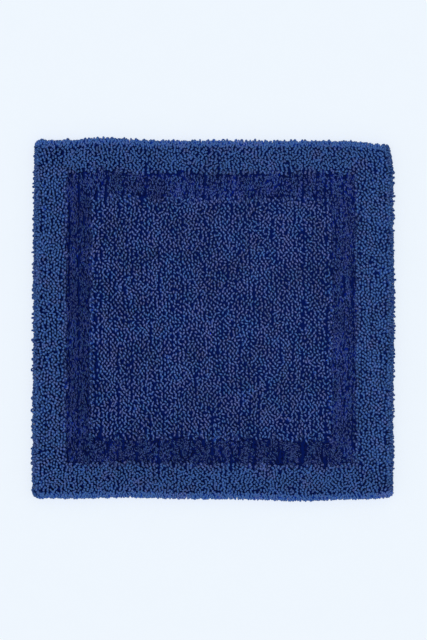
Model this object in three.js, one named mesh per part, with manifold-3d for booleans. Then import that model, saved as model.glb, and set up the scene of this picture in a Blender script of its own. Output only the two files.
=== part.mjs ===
// Square tufted cotton bath mat lying flat: loop pile in the centre and the border, a recessed band of
// cut pile between them, and on the back a latex coat, four turned hems with their stitching and a label.
// Millimetres, +Z up. The origin is the centre of the underside, with +X right and +Y to the top edge.
import * as THREE from "three";
import { mergeVertices } from "three/addons/utils/BufferGeometryUtils.js";
import Module from "manifold-3d";

const wasm = await Module();
wasm.setup();

// Overall sizes, out to the tips of the loops.
const matWidth = 500; // along X
const matDepth = 500; // along Y

// Where the pile changes. Each border is measured in from the tips of the loops on its side.
const borderWidth = { left: 45, bottom: 48, right: 51, top: 44 };
const bandWidth = 38;

// The layers.
const latexThickness = 1.2;
const clothThickness = 0.9;
const loopHeight = 12; // above the ground cloth
const cutHeight = 8.5; // above the ground cloth

// The loops along the fold: how far they stick out of it, and how they roll over it.
const sideReach = 8;
const rimRadius = 12;
const rimSteps = 5;
const rimFloorGap = 1; // from the lowest loops to the floor
const rimUndercut = 3; // how far the lowest loops draw in
const foldCornerRadius = 3; // of the cloth, seen from above

// The hems, and the slope where the cloth comes down from them to the floor.
const hemWidth = 16;
const hemThickness = 1.8;
const slopeWidth = 8;

// The thread lies flush in the furrow that it pulls into the hem.
const threadWidth = 0.8;
const threadHeight = 0.5;
const threadFromHemEdge = 3.5;

// The label lies flush in the latex, beside a hem.
const labelWidth = 46;
const labelDepth = 28;
const labelThickness = 0.3;
const labelFromHem = 14;
const labelFromCentre = 120;

const clearance = 0.3; // between pieces that touch

// Heights that follow from the layers.
const hemRise = hemThickness + clearance;
const clothBottom = latexThickness + clearance;
const pileBottom = clothBottom + clothThickness + clearance;
const loopTop = pileBottom + loopHeight;
const cutTop = pileBottom + cutHeight;
const matHeight = loopTop + hemRise;
const cornerRadius = foldCornerRadius + sideReach; // round the tips of the loops
const underFloor = -1; // any height below the floor, for cuts that come up from it
const furrowWidth = threadWidth + 2 * clearance;
const furrowHeight = threadHeight + clearance;

// Rectangles seen from above.
const sideNames = ["left", "bottom", "right", "top"];
const matEdge = {
  left: -matWidth / 2,
  bottom: -matDepth / 2,
  right: matWidth / 2,
  top: matDepth / 2,
};

function insetBy(edge, inset) {
  const of = (side) => (typeof inset === "number" ? inset : inset[side]);
  return {
    left: edge.left + of("left"),
    bottom: edge.bottom + of("bottom"),
    right: edge.right - of("right"),
    top: edge.top - of("top"),
  };
}

const clothEdge = insetBy(matEdge, sideReach);
const hemInnerEdge = insetBy(clothEdge, hemWidth);
const borderInnerEdge = insetBy(matEdge, borderWidth);
const bandInnerEdge = insetBy(borderInnerEdge, bandWidth);
const labelBottom = hemInnerEdge.bottom + slopeWidth + labelFromHem;
const labelEdge = {
  left: labelFromCentre - labelWidth / 2,
  bottom: labelBottom,
  right: labelFromCentre + labelWidth / 2,
  top: labelBottom + labelDepth,
};

// Solids.
function solid(geometry) {
  const bare = geometry.clone();
  bare.deleteAttribute("normal");
  bare.deleteAttribute("uv");
  const merged = mergeVertices(bare, 1e-4);
  return new wasm.Manifold(
    new wasm.Mesh({
      numProp: 3,
      vertProperties: merged.getAttribute("position").array,
      triVerts: new Uint32Array(merged.index.array),
    }),
  );
}

function geometryOf(manifold) {
  const mesh = manifold.getMesh();
  const geometry = new THREE.BufferGeometry();
  geometry.setAttribute("position", new THREE.BufferAttribute(mesh.vertProperties, 3));
  geometry.setIndex(new THREE.BufferAttribute(mesh.triVerts, 1));
  geometry.computeVertexNormals();
  return geometry;
}

function block(edge, bottom, top) {
  const width = edge.right - edge.left;
  const depth = edge.top - edge.bottom;
  const box = new THREE.BoxGeometry(width, depth, top - bottom);
  const middleX = (edge.left + edge.right) / 2;
  const middleY = (edge.bottom + edge.top) / 2;
  return solid(box.translate(middleX, middleY, (bottom + top) / 2));
}

// An upright prism over a rectangle with rounded corners.
function roundedBlock(edge, radius, bottom, top) {
  const outline = new THREE.Shape();
  outline.moveTo(edge.left + radius, edge.bottom);
  outline.absarc(edge.right - radius, edge.bottom + radius, radius, -Math.PI / 2, 0);
  outline.absarc(edge.right - radius, edge.top - radius, radius, 0, Math.PI / 2);
  outline.absarc(edge.left + radius, edge.top - radius, radius, Math.PI / 2, Math.PI);
  outline.absarc(edge.left + radius, edge.bottom + radius, radius, Math.PI, 1.5 * Math.PI);
  const prism = new THREE.ExtrudeGeometry(outline, {
    depth: top - bottom,
    bevelEnabled: false,
    curveSegments: rimSteps,
  });
  return solid(prism.translate(0, 0, bottom));
}

// Everything above the cloth as it lies: level on the floor, and raised over the hems. The slopes carry
// on upwards into the level block, so that the two join as one solid.
function aboveCloth(height) {
  const foot = insetBy(hemInnerEdge, slopeWidth);
  const head = insetBy(hemInnerEdge, -slopeWidth);
  const slopes = new THREE.BoxGeometry(1, 1, 1);
  const corner = slopes.getAttribute("position");
  for (let i = 0; i < corner.count; i++) {
    const isHead = corner.getZ(i) > 0;
    const edge = isHead ? head : foot;
    const x = corner.getX(i) > 0 ? edge.right : edge.left;
    const y = corner.getY(i) > 0 ? edge.top : edge.bottom;
    corner.setXYZ(i, x, y, height + (isHead ? 2 * hemRise : 0));
  }
  const level = block(insetBy(matEdge, -sideReach), height + hemRise, 2 * matHeight);
  return solid(slopes).add(level);
}

const clothOutline = roundedBlock(clothEdge, foldCornerRadius, 0, matHeight);
const matOutline = roundedBlock(matEdge, cornerRadius, 0, matHeight);

// The space that the cloth, the latex and the hems take under the pile.
const spaceEdge = insetBy(clothEdge, -clearance);
const spaceCornerRadius = foldCornerRadius + clearance;
const clothSpace = roundedBlock(spaceEdge, spaceCornerRadius, underFloor, matHeight);
const underPile = clothSpace.subtract(aboveCloth(pileBottom));

function layer(bottom, thickness) {
  return aboveCloth(bottom).subtract(aboveCloth(bottom + thickness)).intersect(clothOutline);
}

// One side of a rectangular ring, mitred at both ends. The section's points are [inset, height].
function ringSide(section, outerEdge, innerEdge, sideIndex) {
  const corners = (edge) => [
    new THREE.Vector2(edge.left, edge.top),
    new THREE.Vector2(edge.left, edge.bottom),
    new THREE.Vector2(edge.right, edge.bottom),
    new THREE.Vector2(edge.right, edge.top),
  ];
  const side = sideNames[sideIndex];
  const ringWidth = Math.abs(innerEdge[side] - outerEdge[side]);
  const outer = corners(outerEdge);
  const inner = corners(innerEdge);
  const next = (sideIndex + 1) % sideNames.length;
  const along = outer[next].clone().sub(outer[sideIndex]).normalize();
  const endGap = along.clone().multiplyScalar(clearance);
  const outline = new THREE.Shape(section.map(([inset, height]) => new THREE.Vector2(inset, height)));
  const bar = new THREE.ExtrudeGeometry(outline, { depth: 1, bevelEnabled: false });
  const point = bar.getAttribute("position");
  for (let i = 0; i < point.count; i++) {
    const share = point.getX(i) / ringWidth;
    const start = outer[sideIndex].clone().lerp(inner[sideIndex], share).add(endGap);
    const end = outer[next].clone().lerp(inner[next], share).sub(endGap);
    const place = start.lerp(end, point.getZ(i));
    point.setXYZ(i, place.x, place.y, point.getY(i));
  }
  return solid(bar);
}

// Pieces.
function latexBacking() {
  const pocket = block(insetBy(labelEdge, -clearance), underFloor, labelThickness + clearance);
  return layer(0, latexThickness).subtract(pocket);
}

function hem(sideIndex) {
  const threadInset = hemWidth - threadFromHemEdge;
  const section = [
    [0, 0],
    [threadInset - furrowWidth / 2, 0],
    [threadInset - furrowWidth / 2, furrowHeight],
    [threadInset + furrowWidth / 2, furrowHeight],
    [threadInset + furrowWidth / 2, 0],
    [hemWidth, 0],
    [hemWidth, hemThickness],
    [0, hemThickness],
  ];
  return ringSide(section, clothEdge, hemInnerEdge, sideIndex).intersect(clothOutline);
}

function hemStitching(sideIndex) {
  const threadInset = hemWidth - threadFromHemEdge;
  const section = [
    [threadInset - threadWidth / 2, 0],
    [threadInset + threadWidth / 2, 0],
    [threadInset + threadWidth / 2, threadHeight],
    [threadInset - threadWidth / 2, threadHeight],
  ];
  return ringSide(section, clothEdge, hemInnerEdge, sideIndex);
}

// The loops stand on the cloth, roll over its fold and hang down beside it.
function loopBorder(sideIndex) {
  const innerInset = borderWidth[sideNames[sideIndex]] - clearance / 2;
  const slopeStart = sideReach + hemWidth;
  const section = [
    [innerInset, rimFloorGap],
    [innerInset, loopTop],
    [slopeStart + slopeWidth, loopTop],
    [slopeStart, matHeight],
  ];
  for (let step = 0; step <= rimSteps; step++) {
    const angle = (step / rimSteps) * (Math.PI / 2);
    const inset = rimRadius * (1 - Math.sin(angle));
    section.push([inset, matHeight - rimRadius * (1 - Math.cos(angle))]);
  }
  section.push([0, rimFloorGap + rimUndercut], [rimUndercut, rimFloorGap]);
  const side = ringSide(section, matEdge, borderInnerEdge, sideIndex).intersect(matOutline);
  return side.subtract(underPile);
}

function cutBand(sideIndex) {
  const start = clearance / 2;
  const end = bandWidth - clearance / 2;
  const section = [
    [start, 0],
    [end, 0],
    [end, cutTop],
    [start, cutTop],
  ];
  const side = ringSide(section, borderInnerEdge, bandInnerEdge, sideIndex);
  return side.intersect(aboveCloth(pileBottom));
}

function centrePile() {
  return block(insetBy(bandInnerEdge, clearance / 2), 0, loopTop).intersect(aboveCloth(pileBottom));
}

// Finishes.
const finishes = {
  loopPile: { color: 0x243a66, roughness: 0.95 },
  cutPile: { color: 0x1b2b55, roughness: 1 },
  cloth: { color: 0x1c2c50, roughness: 0.9 },
  latex: { color: 0xd9d2bd, roughness: 0.7 },
  thread: { color: 0x2a4276, roughness: 0.6 },
  label: { color: 0xe9e9e4, roughness: 0.5 },
};

const mat = new THREE.Group();

function addPiece(name, manifold, finish) {
  const material = new THREE.MeshStandardMaterial({ ...finishes[finish], metalness: 0 });
  const piece = new THREE.Mesh(geometryOf(manifold), material);
  piece.name = name;
  mat.add(piece);
}

addPiece("latex_backing", latexBacking(), "latex");
addPiece("ground_cloth", layer(clothBottom, clothThickness), "cloth");
addPiece("care_label", block(labelEdge, 0, labelThickness), "label");
addPiece("centre_loop_pile", centrePile(), "loopPile");
sideNames.forEach((side, index) => {
  addPiece(`hem_${side}`, hem(index), "cloth");
  addPiece(`hem_stitching_${side}`, hemStitching(index), "thread");
  addPiece(`loop_border_${side}`, loopBorder(index), "loopPile");
  addPiece(`cut_band_${side}`, cutBand(index), "cutPile");
});

export default mat;
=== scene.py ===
"""A square tufted cotton bath mat: loops in the centre and the border, a recessed band of cut tufts
between them, and underneath a latex coat, turned hems with their stitching and a sewn-on label."""
import math
from collections import namedtuple
from random import Random

import bmesh
import bpy
import numpy as np
from mathutils import Matrix, Quaternion, Vector, kdtree, noise


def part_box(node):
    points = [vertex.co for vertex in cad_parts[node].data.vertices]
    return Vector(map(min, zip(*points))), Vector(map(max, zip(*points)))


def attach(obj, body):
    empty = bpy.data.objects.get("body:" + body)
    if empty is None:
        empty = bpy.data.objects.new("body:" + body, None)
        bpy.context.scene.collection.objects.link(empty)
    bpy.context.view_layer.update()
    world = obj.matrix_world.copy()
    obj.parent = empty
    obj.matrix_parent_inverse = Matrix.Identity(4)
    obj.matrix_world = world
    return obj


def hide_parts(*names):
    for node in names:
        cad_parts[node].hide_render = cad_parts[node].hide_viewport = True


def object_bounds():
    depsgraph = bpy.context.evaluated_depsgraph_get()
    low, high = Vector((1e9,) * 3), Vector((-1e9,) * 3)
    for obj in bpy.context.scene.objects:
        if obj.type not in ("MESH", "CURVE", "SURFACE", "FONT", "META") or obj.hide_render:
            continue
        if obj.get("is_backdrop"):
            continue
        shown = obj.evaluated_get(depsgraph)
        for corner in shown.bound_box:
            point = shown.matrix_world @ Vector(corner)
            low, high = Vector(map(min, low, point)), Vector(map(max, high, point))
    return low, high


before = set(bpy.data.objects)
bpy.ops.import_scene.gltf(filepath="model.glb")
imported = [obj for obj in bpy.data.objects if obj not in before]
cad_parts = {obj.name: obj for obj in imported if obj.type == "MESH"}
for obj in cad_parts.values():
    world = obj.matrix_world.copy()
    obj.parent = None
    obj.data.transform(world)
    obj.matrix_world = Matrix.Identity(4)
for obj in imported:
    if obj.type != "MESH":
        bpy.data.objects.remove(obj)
cad_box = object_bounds()

MM = 0.001
DEG = math.pi / 180
TURN = 2 * math.pi
SIDES = ("left", "bottom", "right", "top")
OUTWARD = {
    "left": Vector((-1, 0)),
    "bottom": Vector((0, -1)),
    "right": Vector((1, 0)),
    "top": Vector((0, 1)),
}


# ---- Places and heights, from the frame ---------------------------------------------------------

class Rect:
    """A rectangle seen from above."""

    def __init__(self, left, bottom, right, top):
        self.left, self.bottom, self.right, self.top = left, bottom, right, top
        self.width, self.depth = right - left, top - bottom
        self.middle = Vector(((left + right) / 2, (bottom + top) / 2))

    @classmethod
    def of(cls, node):
        low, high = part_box(node)
        return cls(low.x, low.y, high.x, high.y)

    def inset(self, by):
        return Rect(self.left + by, self.bottom + by, self.right - by, self.top - by)

    def inward(self, x, y):
        """How far a point is inside the nearest side."""
        return min(x - self.left, self.right - x, y - self.bottom, self.top - y)

    def edge(self, side):
        """The middle of a side, the way along it and its half length."""
        out = OUTWARD[side]
        middle = self.middle + Vector((out.x * self.width, out.y * self.depth)) / 2
        half = (self.depth if out.x else self.width) / 2
        return middle, Vector((-out.y, out.x)), half


CLOTH = Rect.of("ground_cloth")
CENTRE = Rect.of("centre_loop_pile")
LABEL = Rect.of("care_label")
MAT = Rect(cad_box[0].x, cad_box[0].y, cad_box[1].x, cad_box[1].y)
BAND = Rect(
    Rect.of("cut_band_left").left,
    Rect.of("cut_band_bottom").bottom,
    Rect.of("cut_band_right").right,
    Rect.of("cut_band_top").top,
)
HEM_INNER = Rect(
    Rect.of("hem_left").right,
    Rect.of("hem_bottom").top,
    Rect.of("hem_right").left,
    Rect.of("hem_top").bottom,
)

PILE_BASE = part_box("centre_loop_pile")[0].z
LOOP_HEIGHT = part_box("centre_loop_pile")[1].z - PILE_BASE
CUT_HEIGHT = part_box("cut_band_left")[1].z - PILE_BASE
HEM_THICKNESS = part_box("hem_left")[1].z
HEM_WIDTH = HEM_INNER.left - CLOTH.left
HEM_RISE = cad_box[1].z - PILE_BASE - LOOP_HEIGHT
CLOTH_THICKNESS = 0.9 * MM
CLOTH_TOP = PILE_BASE - 0.3 * MM
SLOPE_WIDTH = 8 * MM
LATEX_MARGIN = 6 * MM
FOLD_RADIUS = (CLOTH_TOP + HEM_RISE) / 2
FLAT = CLOTH.inset(FOLD_RADIUS)

# Tufting. The needle rows run up the mat, and each puts its loops to its left and right in turn.
GAUGE = 6.2 * MM
STITCH = 3.7 * MM
BORDER_STITCH = 2.8 * MM
BAND_STITCH = 3.4 * MM
ZIGZAG = 0.9 * MM
ROW_WANDER = 1.6 * MM
STITCH_SCATTER = 0.7 * MM
ROOT_DEPTH = 0.4 * MM
YARN_RADIUS = 1.2 * MM
CROWN_RADIUS = 1.6 * MM
STRAND_RADII_MM = (0.7, 1.0, 1.1, 0.95, 0.5)

LOOP_KINDS = 16
LOOP_SIDES = 5
STRAND_KINDS = 12
STRAND_SIDES = 4

# The dye map: each yarn takes one of these strips, which differ in depth of dye and in hue. Over the
# fold the depth also carries painted light and shade.
DYE_MAP = "OFBake"
DYE_DEPTHS = 8
DYE_HUES = 4
DYE_STRIPS = DYE_DEPTHS * DYE_HUES
STRIP_MARGIN = 0.08


def smooth(t):
    """Eases from 0 to 1 as t does."""
    t = min(max(t, 0.0), 1.0)
    return t * t * (3 - 2 * t)


def hem_lift(x, y):
    """How far the hems raise the cloth here."""
    return HEM_RISE * (1 - smooth(HEM_INNER.inward(x, y) / SLOPE_WIDTH))


def swell(t, middle, spread):
    """A bell curve that is 1 at its middle."""
    return np.exp(-(((t - middle) / spread) ** 2))


# The soft mat doesn't lie quite square. Each bulge moves a side by its size, to the right or up,
# round its middle along the side.
Bulge = namedtuple("Bulge", "size middle spread")
BULGES = {
    "left": (Bulge(2 * MM, MAT.top, 8 * MM),),
    "bottom": (
        Bulge(1.4 * MM, MAT.left + 20 * MM, 30 * MM),
        Bulge(2.2 * MM, -120 * MM, 55 * MM),
        Bulge(-2.6 * MM, 120 * MM, 50 * MM),
        Bulge(2.2 * MM, MAT.right - 8 * MM, 16 * MM),
    ),
    "right": (
        Bulge(1.4 * MM, 20 * MM, 110 * MM),
        Bulge(-5.6 * MM, MAT.top, 22 * MM),
    ),
    "top": (
        Bulge(2.4 * MM, MAT.left + 7 * MM, 5 * MM),
        Bulge(3.4 * MM, -150 * MM, 36 * MM),
        Bulge(-3.8 * MM, MAT.right - 18 * MM, 20 * MM),
    ),
}
LEFT_SLANT = 1.6 * MM
TOP_DROP = 1.2 * MM
TOP_SLANT = 1.6 * MM


def bulged(side, along):
    """How far the bulges of a side move it, for each of these places along it."""
    return sum(bulge.size * swell(along, bulge.middle, bulge.spread) for bulge in BULGES[side])


def as_laid(points):
    """Moves points in plan as the mat lies: each side wanders a little from straight."""
    x, y = points[:, 0].copy(), points[:, 1].copy()
    across = np.clip((x - MAT.left) / MAT.width, 0, 1)
    up = np.clip((y - MAT.bottom) / MAT.depth, 0, 1)
    left = bulged("left", y) + LEFT_SLANT * (2 * up - 1)
    right = bulged("right", y)
    bottom = bulged("bottom", x)
    top = bulged("top", x) - TOP_SLANT * across - TOP_DROP
    points[:, 0] += left * (1 - across) ** 2 + right * across**2
    points[:, 1] += bottom * (1 - up) ** 2 + top * up**2


def above_floor(points):
    """Yarn that would reach below the floor is pressed up against it."""
    soft = 1.0 * MM
    z = points[:, 2]
    low = z < soft
    z[low] = soft * np.exp(z[low] / soft - 1)


# ---- Camera, lights and floor -------------------------------------------------------------------

MAT_SHARE = 361 / 640
LOOK_AT = Vector((0.5 * MM, -1 * MM, PILE_BASE))
LAMP_PLACE = (-0.2, -0.1, 3)
LAMP_STRENGTH = 2.45
ROOM_STRENGTH = 0.26
ROOM_COLOUR = (0.93, 0.965, 1, 1)
FLOOR_REACH = 6


def aim(obj, target):
    obj.rotation_euler = (Vector(target) - obj.location).to_track_quat("-Z", "Y").to_euler()


def camera():
    """Straight down on the mat, which fills MAT_SHARE of the height of the view."""
    data = bpy.data.cameras.new("camera")
    data.lens = 85
    data.sensor_width = 36
    distance = MAT.width / MAT_SHARE * data.lens / data.sensor_width
    obj = bpy.data.objects.new("camera", data)
    obj.location = LOOK_AT + Vector((0, 0, distance))
    bpy.context.scene.collection.objects.link(obj)
    bpy.context.scene.camera = obj


def lights():
    """A large soft lamp far overhead, a little to the left and the front, and a pale room."""
    data = bpy.data.lights.new("overhead_softbox", "SUN")
    data.angle = 18 * DEG
    data.energy = LAMP_STRENGTH
    obj = bpy.data.objects.new("overhead_softbox", data)
    obj.location = LAMP_PLACE
    aim(obj, (0, 0, 0))
    bpy.context.scene.collection.objects.link(obj)
    world = bpy.data.worlds.new("studio")
    world.use_nodes = True
    room = world.node_tree.nodes["Background"].inputs
    room["Color"].default_value = ROOM_COLOUR
    room["Strength"].default_value = ROOM_STRENGTH
    bpy.context.scene.world = world
    bpy.context.scene.view_settings.view_transform = "Standard"


def floor():
    bm = bmesh.new()
    bmesh.ops.create_grid(bm, x_segments=1, y_segments=1, size=FLOOR_REACH)
    obj = made("floor", bm)
    obj.data.materials.append(floor_finish())
    obj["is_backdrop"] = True


# ---- Mesh helpers -------------------------------------------------------------------------------

def made(name, bm):
    """A new smooth-shaded object that holds this bmesh."""
    for face in bm.faces:
        face.smooth = True
    mesh = bpy.data.meshes.new(name)
    bm.to_mesh(mesh)
    bm.free()
    obj = bpy.data.objects.new(name, mesh)
    bpy.context.scene.collection.objects.link(obj)
    return obj


def lay(obj):
    """Gives a piece the wandering outline of the mat as it lies."""
    mesh = obj.data
    points = np.empty(len(mesh.vertices) * 3, np.float32)
    mesh.vertices.foreach_get("co", points)
    points = points.reshape(-1, 3)
    as_laid(points)
    above_floor(points)
    mesh.vertices.foreach_set("co", points.ravel())
    mesh.update()


def finished(obj, slot, node=None):
    """Gives a piece its finish, hangs it on the root body and hides the part that it replaces."""
    obj.data.materials.append(FINISHES[slot])
    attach(obj, "root")
    if node:
        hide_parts(node)
    return obj


def edges_among(verts):
    """The edges that join these vertices to each other, each once and always in the same order."""
    chosen = set(verts)
    return list(dict.fromkeys(e for v in verts for e in v.link_edges if e.other_vert(v) in chosen))


def sweep(name, path, outward, radii, sides):
    """A round yarn along a path, closed at both ends. The dye map runs from 0 to 1 round it, from
    its outward side, and from 0 to 1 along it. Rise is 0 at its lowest point and 1 at its top."""
    bm = bmesh.new()
    dye = bm.loops.layers.uv.new(DYE_MAP)
    rise = bm.verts.layers.float.new("rise")
    rings = []
    for step, point in enumerate(path):
        heading = path[min(step + 1, len(path) - 1)] - path[max(step - 1, 0)]
        heading.normalize()
        out = (outward[step] - heading * outward[step].dot(heading)).normalized()
        turn = Matrix((out, heading.cross(out), heading)).transposed().to_quaternion()
        rings.append(Matrix.LocRotScale(point, turn, Vector((1, 1, 1)) * radii[step]))
    ring = bmesh.ops.create_circle(bm, cap_ends=True, segments=sides, radius=1)["verts"]
    corner_of = {v: round(math.atan2(v.co.y, v.co.x) / TURN * sides) % sides for v in ring}
    bmesh.ops.transform(bm, matrix=rings[0], verts=ring)
    step_of = dict.fromkeys(ring, 0)
    for step in range(1, len(path)):
        grown = bmesh.ops.extrude_edge_only(bm, edges=edges_among(ring))["geom"]
        ring = [item for item in grown if isinstance(item, bmesh.types.BMVert)]
        back = rings[step - 1].inverted()
        for vert in ring:
            local = back @ vert.co
            corner_of[vert] = round(math.atan2(local.y, local.x) / TURN * sides) % sides
            step_of[vert] = step
        bmesh.ops.transform(bm, matrix=rings[step] @ back, verts=ring)
    bmesh.ops.contextual_create(bm, geom=edges_among(ring))
    bmesh.ops.recalc_face_normals(bm, faces=bm.faces)
    low = min(v.co.z for v in bm.verts)
    high = max(v.co.z for v in bm.verts)
    for vert in bm.verts:
        vert[rise] = (vert.co.z - low) / (high - low)
    for face in bm.faces:
        face.smooth = True
        wraps = len(face.verts) == 4 and {0, sides - 1} <= {corner_of[v] for v in face.verts}
        for loop in face.loops:
            corner = corner_of[loop.vert]
            around = (sides if wraps and corner == 0 else corner) / sides
            loop[dye].uv = (around, step_of[loop.vert] / (len(path) - 1))
    mesh = bpy.data.meshes.new(name)
    bm.to_mesh(mesh)
    bm.free()
    return mesh


Place = namedtuple("Place", "kind matrix strip")


def plant(name, templates, places):
    """One piece with a copy of a template at each place, each on its own strip of the dye map."""
    strips = []
    for template in templates:
        dye = np.empty(len(template.loops) * 2, np.float32)
        template.uv_layers[DYE_MAP].uv.foreach_get("vector", dye)
        dye = dye.reshape(-1, 2)
        dye[:, 0] = STRIP_MARGIN + dye[:, 0] * (1 - 2 * STRIP_MARGIN)
        strips.append(dye)
    bm = bmesh.new()
    for place in places:
        sprig = templates[place.kind].copy()
        sprig.transform(place.matrix)
        dye = strips[place.kind].copy()
        dye[:, 0] = (dye[:, 0] + place.strip) / DYE_STRIPS
        sprig.uv_layers[DYE_MAP].uv.foreach_set("vector", dye.ravel())
        bm.from_mesh(sprig)
        bpy.data.meshes.remove(sprig)
    obj = made(name, bm)
    lay(obj)
    return obj


# ---- Yarn templates -----------------------------------------------------------------------------

def loop_templates(rng):
    """Standing loops: both legs rise from one hole to a round crown, which bends and turns."""
    templates = []
    for index in range(LOOP_KINDS):
        crown = CROWN_RADIUS * rng.uniform(0.7, 1.32)
        bend = rng.uniform(-0.7, 0.7) * MM
        twist = rng.uniform(-25, 25) * DEG
        shoulder = LOOP_HEIGHT - YARN_RADIUS - crown
        flat = [(-0.3 * crown, 0), (-0.62 * crown, 0.45 * shoulder)]
        for step in range(5):
            angle = math.pi * (1 - step / 4)
            flat.append((crown * math.cos(angle), shoulder + crown * math.sin(angle)))
        flat += [(-x, z) for x, z in reversed(flat[:2])]
        path = []
        for x, z in flat:
            up = z / LOOP_HEIGHT
            point = Vector((x, bend * up**2, z))
            point.rotate(Quaternion((0, 0, 1), twist * up))
            path.append(point)
        middle = Vector((0, bend * 0.5, shoulder))
        outward = [point - middle for point in path]
        thick = YARN_RADIUS * rng.uniform(0.9, 1.08)
        radii = [thick * 0.7] + [thick] * (len(path) - 2) + [thick * 0.7]
        templates.append(sweep(f"loop_{index}", path, outward, radii, LOOP_SIDES))
    return templates


def strand_templates(rng):
    """Cut ends of soft yarn, which curl over, fan open and thin out at the tip."""
    templates = []
    for index in range(STRAND_KINDS):
        curl = rng.uniform(0.8, 3.0) * MM
        sway = rng.uniform(-0.7, 0.7) * MM
        path = []
        for step in range(len(STRAND_RADII_MM)):
            up = step / (len(STRAND_RADII_MM) - 1)
            path.append(Vector((curl * up**2, sway * math.sin(up * math.pi), CUT_HEIGHT * up)))
        outward = [Vector((-1, 0, 0.6))] * len(path)
        radii = [radius * MM for radius in STRAND_RADII_MM]
        templates.append(sweep(f"strand_{index}", path, outward, radii, STRAND_SIDES))
    return templates


# ---- Pile ---------------------------------------------------------------------------------------

def drift(x, y, size, seed):
    """A smooth value, mostly from -0.6 to 0.6, that changes over about this size."""
    return noise.noise(Vector((x / size, y / size, seed * 7.31)))


def leaning(towards, angle):
    """The turn that tips an upright loop over by an angle towards a direction in plan."""
    return Quaternion((-towards.y, towards.x, 0), angle)


DYE_PATCH = 32 * MM
DYE_FLECK = 12 * MM
HUE_PATCH = 13 * MM
BORDER_BLEND = 6 * MM


def dye_and_painted_light_strip(rng, x, y, paler):
    """The strip of the dye map for a yarn here. The dye has taken a little unevenly, and least so in
    the border, which is paler and greener. Paler moves the strip up or down the dye depths; over the
    fold it carries painted light and shade."""
    outer = 1 - smooth(BAND.inward(x, y) / BORDER_BLEND + 1)
    patch = (4.6 - 3.4 * outer) * drift(x, y, DYE_PATCH, 4) + drift(x, y, DYE_FLECK, 9)
    depth = 3 + patch + rng.gauss(0, 1.4)
    hue = 1.6 + 2.2 * drift(x, y, HUE_PATCH, 5) + rng.gauss(0, 0.5)
    depth = min(max(round(depth + 1.7 * outer + paler), 0), DYE_DEPTHS - 1)
    hue = min(max(round(hue - 1.5 * outer), 0), DYE_HUES - 1)
    return depth * DYE_HUES + hue


PARTED = 0.9 * MM
PARTING_LENGTH = 45 * MM


def parting(row, y):
    """How far this needle row and the next have parted here."""
    opened = noise.noise(Vector((row * 3.7, y / PARTING_LENGTH, 5.5)))
    return smooth((opened - 0.18) / 0.3) * PARTED


Hole = namedtuple("Hole", "row stitch x y")


def holes(rng, length, loose, keep):
    """Where the yarn comes up through the cloth, row by row, at this length of stitch."""
    rows = round(CLOTH.width / GAUGE)
    stitches = round(CLOTH.depth / length)
    for row in range(rows):
        start = rng.random()
        for stitch in range(stitches):
            x = CLOTH.left + (row + 0.5) * CLOTH.width / rows
            y = CLOTH.bottom + (stitch + start) * CLOTH.depth / stitches
            x += (ZIGZAG if stitch % 2 else -ZIGZAG) + rng.gauss(0, loose)
            x += drift(x, y, 45 * MM, 3) * ROW_WANDER
            y += rng.gauss(0, STITCH_SCATTER)
            if keep(x, y):
                yield Hole(row, stitch, x, y)


def side_of(outer, inner, x, y):
    """Which side of a ring a point is on, split at the mitres."""
    shares = {
        "left": (x - outer.left) / (inner.left - outer.left),
        "bottom": (y - outer.bottom) / (inner.bottom - outer.bottom),
        "right": (outer.right - x) / (outer.right - inner.right),
        "top": (outer.top - y) / (outer.top - inner.top),
    }
    return min(shares, key=shares.get)


def beside(x, y, rect, reach):
    """A vector in plan that points out over each side of a rectangle nearer than reach."""
    out = Vector((0, 0))
    for side, distance in (
        ("left", abs(x - rect.left)),
        ("bottom", abs(y - rect.bottom)),
        ("right", abs(rect.right - x)),
        ("top", abs(rect.top - y)),
    ):
        out += OUTWARD[side] * (1 - smooth(distance / reach))
    return out


MOST_LEAN = 75 * DEG


def standing(x, y, lean, spin, size):
    """The matrix of a yarn on the cloth at x, y, which leans by the vector lean in radians."""
    angle = lean.length
    turn = Quaternion()
    if angle > 1e-4:
        turn = leaning(lean.normalized(), min(angle, MOST_LEAN))
    foot = Vector((x, y, PILE_BASE + hem_lift(x, y) - ROOT_DEPTH))
    return Matrix.LocRotScale(foot, turn @ Quaternion((0, 0, 1), spin), size)


SLANT = -73
TURNED_BACK = 0.36


def crown_direction(rng, slant):
    """The way the crown of a loop runs. The twist of the yarn turns most of them to one slant."""
    if rng.random() < TURNED_BACK:
        slant = -slant
    return (slant + rng.gauss(0, 26)) * DEG


ROOM = 4.9 * MM
ROUNDS = 20
NEIGHBOURS = 8
Give = namedtuple("Give", "across along")
CROWN_GIVE = Give(0.13, 0.16)
TIP_GIVE = Give(0.05, 0.14)


def settle(crowns, give):
    """Crowns that crowd each other push apart, until they are evenly spread."""
    for _ in range(ROUNDS):
        tree = kdtree.KDTree(len(crowns))
        for index, crown in enumerate(crowns):
            tree.insert(crown, index)
        tree.balance()
        pushes = []
        for crown in crowns:
            push = Vector((0, 0, 0))
            for near, _index, distance in tree.find_n(crown, NEIGHBOURS):
                if 0 < distance < ROOM:
                    push += (crown - near) * (ROOM / distance - 1)
            pushes.append(Vector((push.x * give.across, push.y * give.along, 0)))
        for crown, push in zip(crowns, pushes):
            crown += push


def in_centre(x, y):
    return CENTRE.inward(x, y) >= 0


def on_band(x, y):
    return BAND.inward(x, y) >= 0 > CENTRE.inward(x, y)


def on_border(x, y):
    return FLAT.inward(x, y) >= 0 > BAND.inward(x, y)


Stand = namedtuple("Stand", "hole crown")
CENTRE_LOOSE = 0.6 * MM
BORDER_LOOSE = 0.8 * MM
LEAN_PATCH = 26 * MM
PATCH_LEAN = 16 * DEG
EDGE_REACH = 8 * MM
EDGE_LEAN = 12 * DEG
SPLAY = 8 * DEG
SPLAY_REACH = 10 * MM


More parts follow.
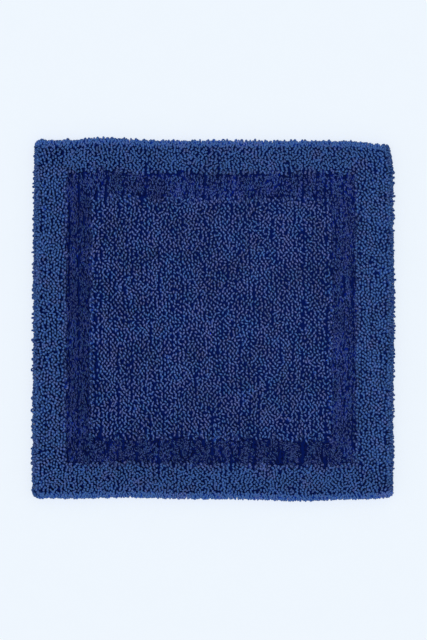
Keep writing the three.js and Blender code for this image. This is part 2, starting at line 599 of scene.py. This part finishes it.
def standing_loops():
    """Every upright loop of the mat, as its hole and where its crown comes to rest."""
    rng = Random(50)
    spots = list(holes(rng, STITCH, CENTRE_LOOSE, in_centre))
    spots += holes(rng, BORDER_STITCH, BORDER_LOOSE, on_border)
    crowns = []
    for _row, _stitch, x, y in spots:
        lean = Vector((drift(x, y, LEAN_PATCH, 1), drift(x, y, LEAN_PATCH, 2))) * PATCH_LEAN
        lean += Vector((rng.gauss(0, 3), rng.gauss(0, 5))) * DEG
        if in_centre(x, y):
            lean += beside(x, y, CENTRE, EDGE_REACH) * EDGE_LEAN
        else:
            lean -= beside(x, y, BAND, EDGE_REACH) * EDGE_LEAN
            splay = SPLAY * math.exp(-FLAT.inward(x, y) / SPLAY_REACH)
            lean += away_from_middle(x, y) * splay
        crowns.append(Vector((x, y, 0)) + lean.to_3d() * LOOP_HEIGHT)
    settle(crowns, CROWN_GIVE)
    for (row, _stitch, x, y), crown in zip(spots, crowns):
        if in_centre(x, y):
            crown.x -= parting(row, y) - parting(row - 1, y)
    return [Stand(hole, crown) for hole, crown in zip(spots, crowns)]


SHORT_LOOP = 0.84
TALLEST_LOOP = 1.08
CENTRE_FULLNESS = (0.95, 1.05)
BORDER_FULLNESS = (0.92, 1.3)
CENTRE_PALER = 1.3
BORDER_PALER = -0.6


def stretched(lean):
    """How much a leaning yarn is lengthened, so that its neighbours don't bury it."""
    return math.cos(min(lean.length, 1)) ** -0.4


def loop_place(rng, stand, slant):
    """A standing loop of the centre or the border, leaning to where its crown rests."""
    row, stitch, x, y = stand.hole
    lean = (stand.crown - Vector((x, y, 0))).to_2d() / LOOP_HEIGHT
    height = rng.gauss(1 if (row + stitch) % 3 else SHORT_LOOP, 0.035) * stretched(lean)
    fullness = CENTRE_FULLNESS if in_centre(x, y) else BORDER_FULLNESS
    size = Vector((*fullness, min(height, TALLEST_LOOP)))
    matrix = standing(x, y, lean, crown_direction(rng, slant), size)
    strip = dye_and_painted_light_strip(rng, x, y, CENTRE_PALER if in_centre(x, y) else BORDER_PALER)
    return Place(rng.randrange(LOOP_KINDS), matrix, strip)


CENTRE_STRETCHES = 4


def centre_pile(templates, stands):
    """The centre panel, in four stretches of loops."""
    pieces = []
    for index in range(CENTRE_STRETCHES):
        rng = Random(100 + index)
        bottom = CENTRE.bottom + CENTRE.depth * index / CENTRE_STRETCHES
        top = bottom + CENTRE.depth / CENTRE_STRETCHES
        part = Rect(CENTRE.left, bottom, CENTRE.right, top)
        own = [stand for stand in stands if part.inward(stand.hole.x, stand.hole.y) >= 0]
        places = [loop_place(rng, stand, SLANT) for stand in own]
        pieces.append(finished(plant(f"centre_loops_{index + 1}", templates, places), "loop_pile"))
    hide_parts("centre_loop_pile")
    return pieces


def border_pile(templates, stands, side):
    """One stretch of the border: standing loops, and rows of loops over the fold."""
    rng = Random(200 + SIDES.index(side))
    slant = SLANT if side in ("left", "right") else -SLANT
    places = []
    for stand in stands:
        x, y = stand.hole.x, stand.hole.y
        if BAND.inward(x, y) < 0 and side_of(MAT, BAND, x, y) == side:
            places.append(loop_place(rng, stand, slant))
    places += fold_rows(rng, side)
    obj = plant(f"border_loops_{side}", templates, places)
    return finished(obj, "loop_pile", f"loop_border_{side}")


CORNER_REACH = 16 * MM


def away_from_middle(x, y):
    """The way out over the nearest part of the fold, turning smoothly round a corner."""
    core = FLAT.inset(CORNER_REACH)
    near = Vector((min(max(x, core.left), core.right), min(max(y, core.bottom), core.top)))
    out = Vector((x, y)) - near
    return out.normalized() if out.length > 1e-6 else Vector((0, 0))


# Rows of loops over the fold, from an angle of 0 on top of the mat to 90 at its side. The loops of a
# stray row stand out past the others here and there. Paler makes the rows near the top a little
# paler as painted light, and the rows down the side and the stray row darker as painted shade.
FoldRow = namedtuple("FoldRow", "angle pitch height paler stray")
FOLD_ROWS = (
    FoldRow(9, 4.6 * MM, 0.98, 0.3, False),
    FoldRow(20, 4.6 * MM, 0.95, 0.4, False),
    FoldRow(33, 4.4 * MM, 0.90, 0.5, False),
    FoldRow(50, 4.5 * MM, 0.80, 0.2, False),
    FoldRow(70, 4.5 * MM, 0.70, -1.5, False),
    FoldRow(90, 4.5 * MM, 0.63, -3.5, False),
    FoldRow(82, 6.5 * MM, 0.84, -4.5, True),
)
# Painted light and shade by side: the fold rows of each side are made paler or darker by these
# steps, for how the light falls on that side.
FOLD_PAINTED_LIGHT = {"left": -5.5, "bottom": 7.0, "right": -6.0, "top": 2.5}
BAND_PALER = {"left": -0.8, "bottom": -2.0, "right": -0.2, "top": 0.0}
FOLD_SLANT = {"left": -34, "bottom": 0, "right": -34, "top": 0}
STRAY_MISSING = 0.3
BARE_CORNER = 30 * MM
CORNER_ARC = 6 * MM


def fold_spots(side, pitch, start):
    """Feet and outward ways along the fold of one side, and round the corner at its far end."""
    out = OUTWARD[side]
    middle, along, half = FLAT.edge(side)
    count = round(2 * half / pitch)
    for index in range(count):
        at = ((index + start) / count * 2 - 1) * half
        yield middle + along * at, out, at
    turns = round(CORNER_ARC * math.pi / 2 / pitch) + 1
    for index in range(turns):
        angle = (index + 0.5) / turns * math.pi / 2
        yield middle + along * half, out * math.cos(angle) + along * math.sin(angle), half


def fold_rows(rng, side):
    """Rows of loops that radiate from the fold. Stray ones miss the corners and the bottom side."""
    places = []
    _middle, _along, half = FLAT.edge(side)
    reach = FOLD_RADIUS - ROOT_DEPTH
    for index, row in enumerate(FOLD_ROWS):
        for foot, out, at in fold_spots(side, row.pitch, 0.25 if index % 2 else 0.75):
            even = side == "bottom" or half - abs(at) < BARE_CORNER
            if row.stray and (even or rng.random() < STRAY_MISSING):
                continue
            foot = foot + Vector((-out.y, out.x)) * rng.gauss(0, 0.4) * MM
            angle = (row.angle + rng.gauss(0, 6)) * DEG
            foot += out * reach * math.sin(angle)
            height = FOLD_RADIUS + reach * math.cos(angle)
            turn = Quaternion((0, 0, 1), rng.gauss(0, 9) * DEG) @ leaning(out, angle)
            slant = crown_direction(rng, FOLD_SLANT[side])
            spin = Quaternion((0, 0, 1), math.atan2(out.y, out.x) + slant)
            size = Vector((1, 1, row.height * rng.gauss(1, 0.05)))
            matrix = Matrix.LocRotScale(Vector((*foot, height)), turn @ spin, size)
            # Painted light and shade: the row's and the side's steps make this strip paler or
            # darker.
            strip = dye_and_painted_light_strip(rng, *foot, row.paler + FOLD_PAINTED_LIGHT[side])
            places.append(Place(rng.randrange(LOOP_KINDS), matrix, strip))
    return places


ENDS_PER_HOLE = 4
BAND_LOOSE = 0.5 * MM
MIXED_PATCH = 16 * MM
MIXED_TURN = 35 * DEG


def band_pile(templates, side):
    """One stretch of the recessed band: cut ends that lie mostly up and down the mat. Along the
    bottom they are turned to one side or the other, patch by patch."""
    rng = Random(300 + SIDES.index(side))
    places = []

    def keep(x, y):
        return on_band(x, y) and side_of(BAND, CENTRE, x, y) == side

    spots = list(holes(rng, BAND_STITCH, BAND_LOOSE, keep))
    tips = []
    for row, _stitch, x, y in spots:
        # A few rows side by side are brushed up the mat, and the next few down it. Leans in degrees.
        way = 1 if noise.noise(Vector((row * 0.8, 0, 4))) > 0 else -1
        lean = Vector((-8 * way + rng.gauss(0, 5), rng.gauss(40, 8) * way))
        if side == "bottom":
            turn = MIXED_TURN if drift(x, y, MIXED_PATCH, 8) > 0 else -MIXED_TURN
            lean.rotate(Matrix.Rotation(turn, 2))
        tips.append(Vector((x, y, 0)) + lean.to_3d() * DEG * CUT_HEIGHT)
    settle(tips, TIP_GIVE)
    for (row, _stitch, x, y), tip in zip(spots, tips):
        tip.x -= parting(row, y) - parting(row - 1, y)
        tuft = (tip - Vector((x, y, 0))).to_2d() / CUT_HEIGHT
        strip = dye_and_painted_light_strip(rng, x, y, BAND_PALER[side])
        for _ in range(ENDS_PER_HOLE):
            lean = tuft + Vector((rng.gauss(0, 4), rng.gauss(0, 8))) * DEG
            at = Vector((x + rng.gauss(0, 0.45) * MM, y + rng.gauss(0, 0.9) * MM))
            height = rng.gauss(1, 0.06) * stretched(lean)
            spin = math.atan2(lean.y, lean.x) + rng.gauss(0, 0.3)
            matrix = standing(at.x, at.y, lean, spin, Vector((1, 1, height)))
            places.append(Place(rng.randrange(STRAND_KINDS), matrix, strip))
    obj = plant(f"band_tufts_{side}", templates, places)
    return finished(obj, "cut_pile", f"cut_band_{side}")


# ---- Cloth, hems and back -----------------------------------------------------------------------

def sheet_grid(rect, across, up):
    """A flat grid over a rectangle."""
    bm = bmesh.new()
    bmesh.ops.create_grid(bm, x_segments=across, y_segments=up, size=0.5)
    bmesh.ops.scale(bm, vec=(rect.width, rect.depth, 1), verts=bm.verts)
    bmesh.ops.translate(bm, vec=(*rect.middle, 0), verts=bm.verts)
    return bm


def thicken(obj, thickness, offset):
    shell = obj.modifiers.new("thickness", "SOLIDIFY")
    shell.thickness = thickness
    shell.offset = offset
    shell.use_even_offset = True


def ground_cloth():
    """The tufted cloth: level in the middle, raised over the hems and rolled under at the fold."""
    bm = sheet_grid(FLAT, 80, 80)
    for vert in bm.verts:
        vert.co.z = CLOTH_TOP + hem_lift(vert.co.x, vert.co.y)
    rim = [edge for edge in bm.edges if edge.is_boundary]
    steps = 8
    half = FLAT.width / 2
    for step in range(1, steps + 1):
        before = math.pi * (step - 1) / steps
        now = math.pi * step / steps
        grown = bmesh.ops.extrude_edge_only(bm, edges=rim)["geom"]
        ring = [item for item in grown if isinstance(item, bmesh.types.BMVert)]
        rim = [item for item in grown if isinstance(item, bmesh.types.BMEdge)]
        rim = [edge for edge in rim if edge.is_boundary]
        grow = (half + FOLD_RADIUS * math.sin(now)) / (half + FOLD_RADIUS * math.sin(before))
        bmesh.ops.scale(bm, vec=(grow, grow, 1), verts=ring)
        drop = FOLD_RADIUS * (math.cos(now) - math.cos(before))
        bmesh.ops.translate(bm, vec=(0, 0, drop), verts=ring)
    bmesh.ops.recalc_face_normals(bm, faces=bm.faces)
    obj = made("ground_cloth_rolled", bm)
    if sum(face.normal.z for face in obj.data.polygons) < 0:
        obj.data.flip_normals()
    lay(obj)
    thicken(obj, CLOTH_THICKNESS, -1)
    return finished(obj, "ground_cloth", "ground_cloth")


def hem(side):
    """The turned edge of the cloth: it runs in from the fold, turns back and is sewn down."""
    middle, along, half = CLOTH.edge(side)
    out = OUTWARD[side]
    layer = 0.8 * MM
    clear = 0.05 * MM
    level = layer / 2 + clear
    turn = (HEM_THICKNESS - layer) / 2
    start = FOLD_RADIUS
    reach = HEM_WIDTH - start - turn - layer / 2
    lengths = (reach, math.pi * turn, reach)
    total = sum(lengths)
    sections = 24
    stretches = 125
    bm = sheet_grid(Rect(-1, 0, 1, 1), stretches, sections)
    for vert in bm.verts:
        t, s = vert.co.x, vert.co.y * total
        if s < lengths[0]:
            inset, z = start + s, level
        elif s < lengths[0] + lengths[1]:
            angle = (s - lengths[0]) / turn
            inset, z = start + reach + turn * math.sin(angle), level + turn * (1 - math.cos(angle))
        else:
            inset, z = start + total - s, level + 2 * turn
        at = t * (half - inset)
        dent = swell(inset, THREAD_INSET, 1.3 * MM) * 0.35 * MM if s < total / 2 else 0
        z += dent * (0.75 + 0.25 * math.cos(TURN * at / SEWN_STITCH))
        place = middle + along * at - out * inset
        vert.co = (*place, z)
    bmesh.ops.recalc_face_normals(bm, faces=bm.faces)
    obj = made(f"hem_turned_{side}", bm)
    lay(obj)
    thicken(obj, layer, 0)
    return finished(obj, "ground_cloth", f"hem_{side}")


THREAD_INSET = HEM_WIDTH - (HEM_INNER.left - Rect.of("hem_stitching_left").middle.x)
SEWN_STITCH = 4.0 * MM
THREAD_RADIUS = 0.26 * MM
THREAD_DIP = 0.75 * MM
THREAD_SIDES = 6


def stitch_template():
    """One sewn stitch: it comes down out of the cloth, lies along it and goes back in."""
    half = SEWN_STITCH * 0.42
    count = 7
    path = []
    for step in range(count):
        t = step / (count - 1) * 2 - 1
        path.append(Vector((t * half, 0, THREAD_DIP * t**6)))
    outward = [Vector((0, 0, -1))] * count
    return sweep("stitch", path, outward, [THREAD_RADIUS] * count, THREAD_SIDES)


def stitch_row(rng, start, end, height):
    """The places of the stitches along a line."""
    way = end - start
    count = round(way.length / SEWN_STITCH)
    turn = math.atan2(way.y, way.x)
    for index in range(count):
        at = start + way * ((index + 0.5) / count)
        spin = Quaternion((0, 0, 1), turn + rng.gauss(0, 0.03))
        matrix = Matrix.LocRotScale(Vector((*at, height)), spin, Vector((1, 1, 1)))
        yield Place(0, matrix, rng.randrange(DYE_STRIPS))


def hem_stitches(template, side):
    rng = Random(400 + SIDES.index(side))
    middle, along, half = CLOTH.inset(THREAD_INSET).edge(side)
    height = THREAD_RADIUS + 0.08 * MM
    places = list(stitch_row(rng, middle - along * half, middle + along * half, height))
    obj = plant(f"hem_stitches_{side}", [template], places)
    return finished(obj, "thread", f"hem_stitching_{side}")


def latex_coat():
    """The poured coat on the back, through which the rows of back stitches show as ribs."""
    rows = round(CLOTH.width / GAUGE)
    rect = CLOTH.inset(LATEX_MARGIN)
    steps_per_rib = 4
    bm = sheet_grid(rect, round(rows * steps_per_rib * rect.width / CLOTH.width), 48)
    for vert in bm.verts:
        x, y = vert.co.x, vert.co.y
        rib = 0.5 + 0.5 * math.cos(TURN * (x - CLOTH.left) / CLOTH.width * rows + math.pi)
        uneven = 0.75 + 0.5 * drift(x, y, 9 * MM, 11)
        vert.co.z = hem_lift(x, y) + (0.48 - 0.4 * rib * uneven) * MM
    bmesh.ops.reverse_faces(bm, faces=bm.faces)
    obj = made("latex_coat", bm)
    lay(obj)
    thicken(obj, 0.8 * MM, -1)
    return finished(obj, "latex", "latex_backing")


def care_label():
    """A blank woven label, sewn flat to the back."""
    bm = sheet_grid(LABEL, round(LABEL.width / MM), round(LABEL.depth / MM))
    for vert in bm.verts:
        x, y = vert.co.x, vert.co.y
        held = smooth(LABEL.inward(x, y) / (4 * MM))
        vert.co.z = (0.16 - 0.1 * held * (0.6 + drift(x, y, 12 * MM, 12))) * MM
    bmesh.ops.reverse_faces(bm, faces=bm.faces)
    obj = made("blank_label", bm)
    lay(obj)
    thicken(obj, 0.18 * MM, -1)
    return finished(obj, "label", "care_label")


LABEL_SEAM = 1.6 * MM


def label_stitches(template):
    rng = Random(500)
    line = LABEL.inset(LABEL_SEAM)
    height = 0.1 * MM
    places = []
    for side in SIDES:
        middle, along, half = line.edge(side)
        places += stitch_row(rng, middle - along * half, middle + along * half, height)
    obj = plant("label_stitches", [template], places)
    return finished(obj, "thread")


# ---- Finishes -----------------------------------------------------------------------------------

class Value:
    """A shader socket that can be used in sums."""

    def __init__(self, finish, socket):
        self.finish, self.socket = finish, socket

    def sum(self, operation, *others):
        return self.finish.node("ShaderNodeMath", {"operation": operation}, [self, *others])

    def __add__(self, other):
        return self.sum("ADD", other)

    def __mul__(self, other):
        return self.sum("MULTIPLY", other)

    def __sub__(self, other):
        return self.sum("SUBTRACT", other)

    def __rsub__(self, other):
        return self * -1 + other

    __radd__ = __add__
    __rmul__ = __mul__


class Finish:
    """A material under construction: its nodes are made one call at a time."""

    def __init__(self, name, **constants):
        self.material = bpy.data.materials.new(name)
        self.material.use_nodes = True
        self.tree = self.material.node_tree
        self.shader = self.tree.nodes["Principled BSDF"]
        for socket, value in constants.items():
            self.shader.inputs[socket.replace("_", " ")].default_value = value

    def node(self, kind, settings, values, output=0):
        """Adds a node: its settings first, then the values or links of its sockets."""
        node = self.tree.nodes.new(kind)
        for key, value in settings.items():
            setattr(node, key, value)
        sockets = values.items() if isinstance(values, dict) else enumerate(values)
        for key, value in sockets:
            self.set(node.inputs[key], value)
        return Value(self, node.outputs[output])

    def set(self, socket, value):
        if isinstance(value, Value):
            self.tree.links.new(value.socket, socket)
        else:
            socket.default_value = value

    def attribute(self, name):
        return self.node("ShaderNodeAttribute", {"attribute_name": name}, {}, "Fac")

    def place(self):
        return self.node("ShaderNodeTexCoord", {}, {}, "Object")

    def on_map(self, name):
        return self.node("ShaderNodeUVMap", {"uv_map": name}, {})

    def split(self, vector):
        node = self.tree.nodes.new("ShaderNodeSeparateXYZ")
        self.set(node.inputs[0], vector)
        return [Value(self, output) for output in node.outputs]

    def join(self, x, y):
        return self.node("ShaderNodeCombineXYZ", {}, [x, y])

    def noise(self, vector, scale, detail):
        values = {"Vector": vector, "Scale": scale, "Detail": detail}
        return self.node("ShaderNodeTexNoise", {}, values, "Fac")

    def ramp(self, value, low, high):
        """Eases from 0 to 1 as a value goes from low to high."""
        settings = {"interpolation_type": "SMOOTHSTEP"}
        return self.node("ShaderNodeMapRange", settings, {0: value, 1: low, 2: high})

    def mix(self, factor, first, second):
        """A blend of two colours."""
        node = self.tree.nodes.new("ShaderNodeMix")
        node.data_type = "RGBA"
        for socket, value in ((0, factor), (6, first), (7, second)):
            self.set(node.inputs[socket], value)
        return Value(self, node.outputs[2])

    def times(self, colour, factor):
        """A colour made lighter or darker by a number."""
        values = {"Vector": colour, "Scale": factor}
        return self.node("ShaderNodeVectorMath", {"operation": "SCALE"}, values)

    def bump(self, height, distance):
        values = {"Height": height, "Distance": distance, "Strength": 1.0}
        return self.node("ShaderNodeBump", {}, values, "Normal")

    def wear(self, **links):
        """Feeds the shader's own sockets and returns the material."""
        for socket, value in links.items():
            self.set(self.shader.inputs[socket.replace("_", " ")], value)
        return self.material


def rgb(red, green, blue):
    """A colour given in screen values from 0 to 255, as the shader wants it."""
    def linear(v):
        v = v / 255
        return v / 12.92 if v <= 0.04045 else ((v + 0.055) / 1.055) ** 2.4
    return (linear(red), linear(green), linear(blue), 1)


def yarn_finish(name, deep, fresh, teal, violet, tone_from, turns):
    """Dyed cotton yarn with painted shade and sheen: a painted deep blue shade low down between the
    loops, and a painted paler, greyer sheen on top. Tone_from is the rise at which the painted shade
    starts to pale, and turns is its twist."""
    f = Finish(
        name,
        Sheen_Weight=0.03,
        Sheen_Roughness=0.5,
        Sheen_Tint=(0.4, 0.6, 1, 1),
        Specular_IOR_Level=0.04,
    )
    u, v, _ = f.split(f.on_map(DYE_MAP))
    strip = (u * DYE_STRIPS).sum("FLOOR")
    around = u * DYE_STRIPS - strip
    depth = (strip * (1 / DYE_HUES)).sum("FLOOR")
    hue = (strip - depth * DYE_HUES) * (1 / (DYE_HUES - 1))
    depth = depth * (1 / (DYE_DEPTHS - 1))
    # The twist darkens the grooves between the plies as painted shade, the fibres break up the
    # colour along the yarn, and a paler dye is lighter too.
    twist = ((around + v * turns) * TURN).sum("SINE")
    fibre = f.noise(f.join(around * 2 + strip * 7, v * 13), 1, 3)
    shade_to_sheen = f.ramp(f.attribute("rise") + depth * 0.06, tone_from, 1.1)
    # Painted shade and sheen: low on each yarn the deep or fresh blue stands for the shade between
    # the loops, and high up the paler, greyer teal or violet stands for the sheen where the light
    # falls.
    colour = f.mix(shade_to_sheen, f.mix(f.ramp(depth, 0.25, 0.75), deep, fresh), f.mix(hue, teal, violet))
    lightness = (0.81 + depth * 0.26) * (0.87 + twist * 0.24) * (0.3 + fibre * 1.4)
    return f.wear(
        Base_Color=f.times(colour, lightness),
        Roughness=0.8 + fibre * 0.18,
        Normal=f.bump(twist * 0.5 + fibre * 0.6, 0.25 * MM),
    )


CLOTH_THREADS = 1.1 * MM
LABEL_RIB = 0.5 * MM


def cloth_finish():
    """Plain-woven cloth, piece-dyed with the pile."""
    f = Finish("navy_ground_cloth", Sheen_Weight=0.04, Specular_IOR_Level=0.06)
    place = f.place()
    x, y, _ = f.split(place)
    threads = TURN / CLOTH_THREADS
    warp = (x * threads).sum("SINE")
    weft = (y * threads).sum("SINE")
    over = (warp * weft) * 0.5 + 0.5
    slub = f.noise(place, 420, 3)
    weave = over * 0.6 + slub * 0.4
    colour = f.mix(weave, rgb(0, 12, 68), rgb(0, 25, 98))
    return f.wear(
        Base_Color=colour,
        Roughness=0.85 + slub * 0.12,
        Normal=f.bump(weave, 0.2 * MM),
    )


def latex_finish():
    """Cream latex, matt and faintly blotched, with the beads of the back stitches under it."""
    f = Finish("cream_latex", Coat_Weight=0.08, Specular_IOR_Level=0.35)
    place = f.place()
    x, y, _ = f.split(place)
    beads = (y * (TURN / STITCH)).sum("SINE") * 0.5 + 0.5
    blotch = f.noise(place, 60, 3)
    pores = f.noise(place, 900, 2)
    colour = f.mix(f.ramp(blotch, 0.35, 0.7), rgb(206, 200, 184), rgb(222, 218, 204))
    colour = f.mix(beads * 0.25, colour, rgb(150, 156, 172))
    return f.wear(
        Base_Color=colour,
        Roughness=0.5 + pores * 0.3,
        Normal=f.bump(beads * 0.5 + pores * 0.4, 0.25 * MM),
    )


def thread_finish():
    f = Finish("navy_thread", Sheen_Weight=0.1)
    u, v, _ = f.split(f.on_map(DYE_MAP))
    twist = ((u * DYE_STRIPS + v * 5) * TURN).sum("SINE")
    # The twist paints shade in the grooves between the plies and a highlight on their ridges.
    colour = f.mix(twist * 0.5 + 0.5, rgb(20, 30, 78), rgb(60, 78, 138))
    return f.wear(Base_Color=colour, Roughness=0.55 + twist * 0.1, Normal=f.bump(twist, 0.06 * MM))


def label_finish():
    """White satin ribbon with a fine rib."""
    f = Finish("white_satin", Sheen_Weight=0.15)
    place = f.place()
    x, y, _ = f.split(place)
    rib = (y * (TURN / LABEL_RIB)).sum("SINE") * 0.5 + 0.5
    soil = f.noise(place, 120, 2)
    colour = f.mix(rib * 0.6 + soil * 0.4, rgb(222, 224, 228), rgb(242, 243, 246))
    return f.wear(Base_Color=colour, Roughness=0.36 + soil * 0.1, Normal=f.bump(rib, 0.05 * MM))


def floor_finish():
    f = Finish("pale_floor", Specular_IOR_Level=0.1)
    speck = f.noise(f.place(), 30, 2)
    colour = f.mix(speck, (0.84, 0.895, 0.955, 1), (0.85, 0.905, 0.965, 1))
    return f.wear(Base_Color=colour, Roughness=0.9 + speck * 0.05)


FINISHES = {
    "loop_pile": yarn_finish(
        "blue_loop_yarn",
        deep=rgb(4, 47, 144),
        fresh=rgb(4, 76, 208),
        teal=rgb(72, 109, 168),
        violet=rgb(94, 107, 162),
        tone_from=0.53,
        turns=3.2,
    ),
    "cut_pile": yarn_finish(
        "blue_cut_yarn",
        deep=rgb(0, 20, 100),
        fresh=rgb(0, 28, 128),
        teal=rgb(68, 100, 158),
        violet=rgb(80, 97, 158),
        tone_from=0.64,
        turns=2,
    ),
    "ground_cloth": cloth_finish(),
    "latex": latex_finish(),
    "thread": thread_finish(),
    "label": label_finish(),
}


# ---- Making -------------------------------------------------------------------------------------

camera()
lights()
floor()

loops = loop_templates(Random(1))
strands = strand_templates(Random(2))
stands = standing_loops()
pile = centre_pile(loops, stands)
for side_name in SIDES:
    pile.append(border_pile(loops, stands, side_name))
    pile.append(band_pile(strands, side_name))

stitch = stitch_template()
cloth = ground_cloth()
latex = latex_coat()
label = care_label()
label_sewing = label_stitches(stitch)
# The two rolls of the cloth, less the part of each that the width of the cloth already counts.
rolled = 2 * (math.pi * FOLD_RADIUS - FOLD_RADIUS)
CLOTH.width + rolled
CLOTH.depth + rolled
coated = CLOTH.inset(LATEX_MARGIN)
for side_name in SIDES:
    stitches = hem_stitches(stitch, side_name)
    turned = hem(side_name)
    2 * HEM_WIDTH

[[list(corner) for corner in box] for box in (cad_box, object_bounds())]
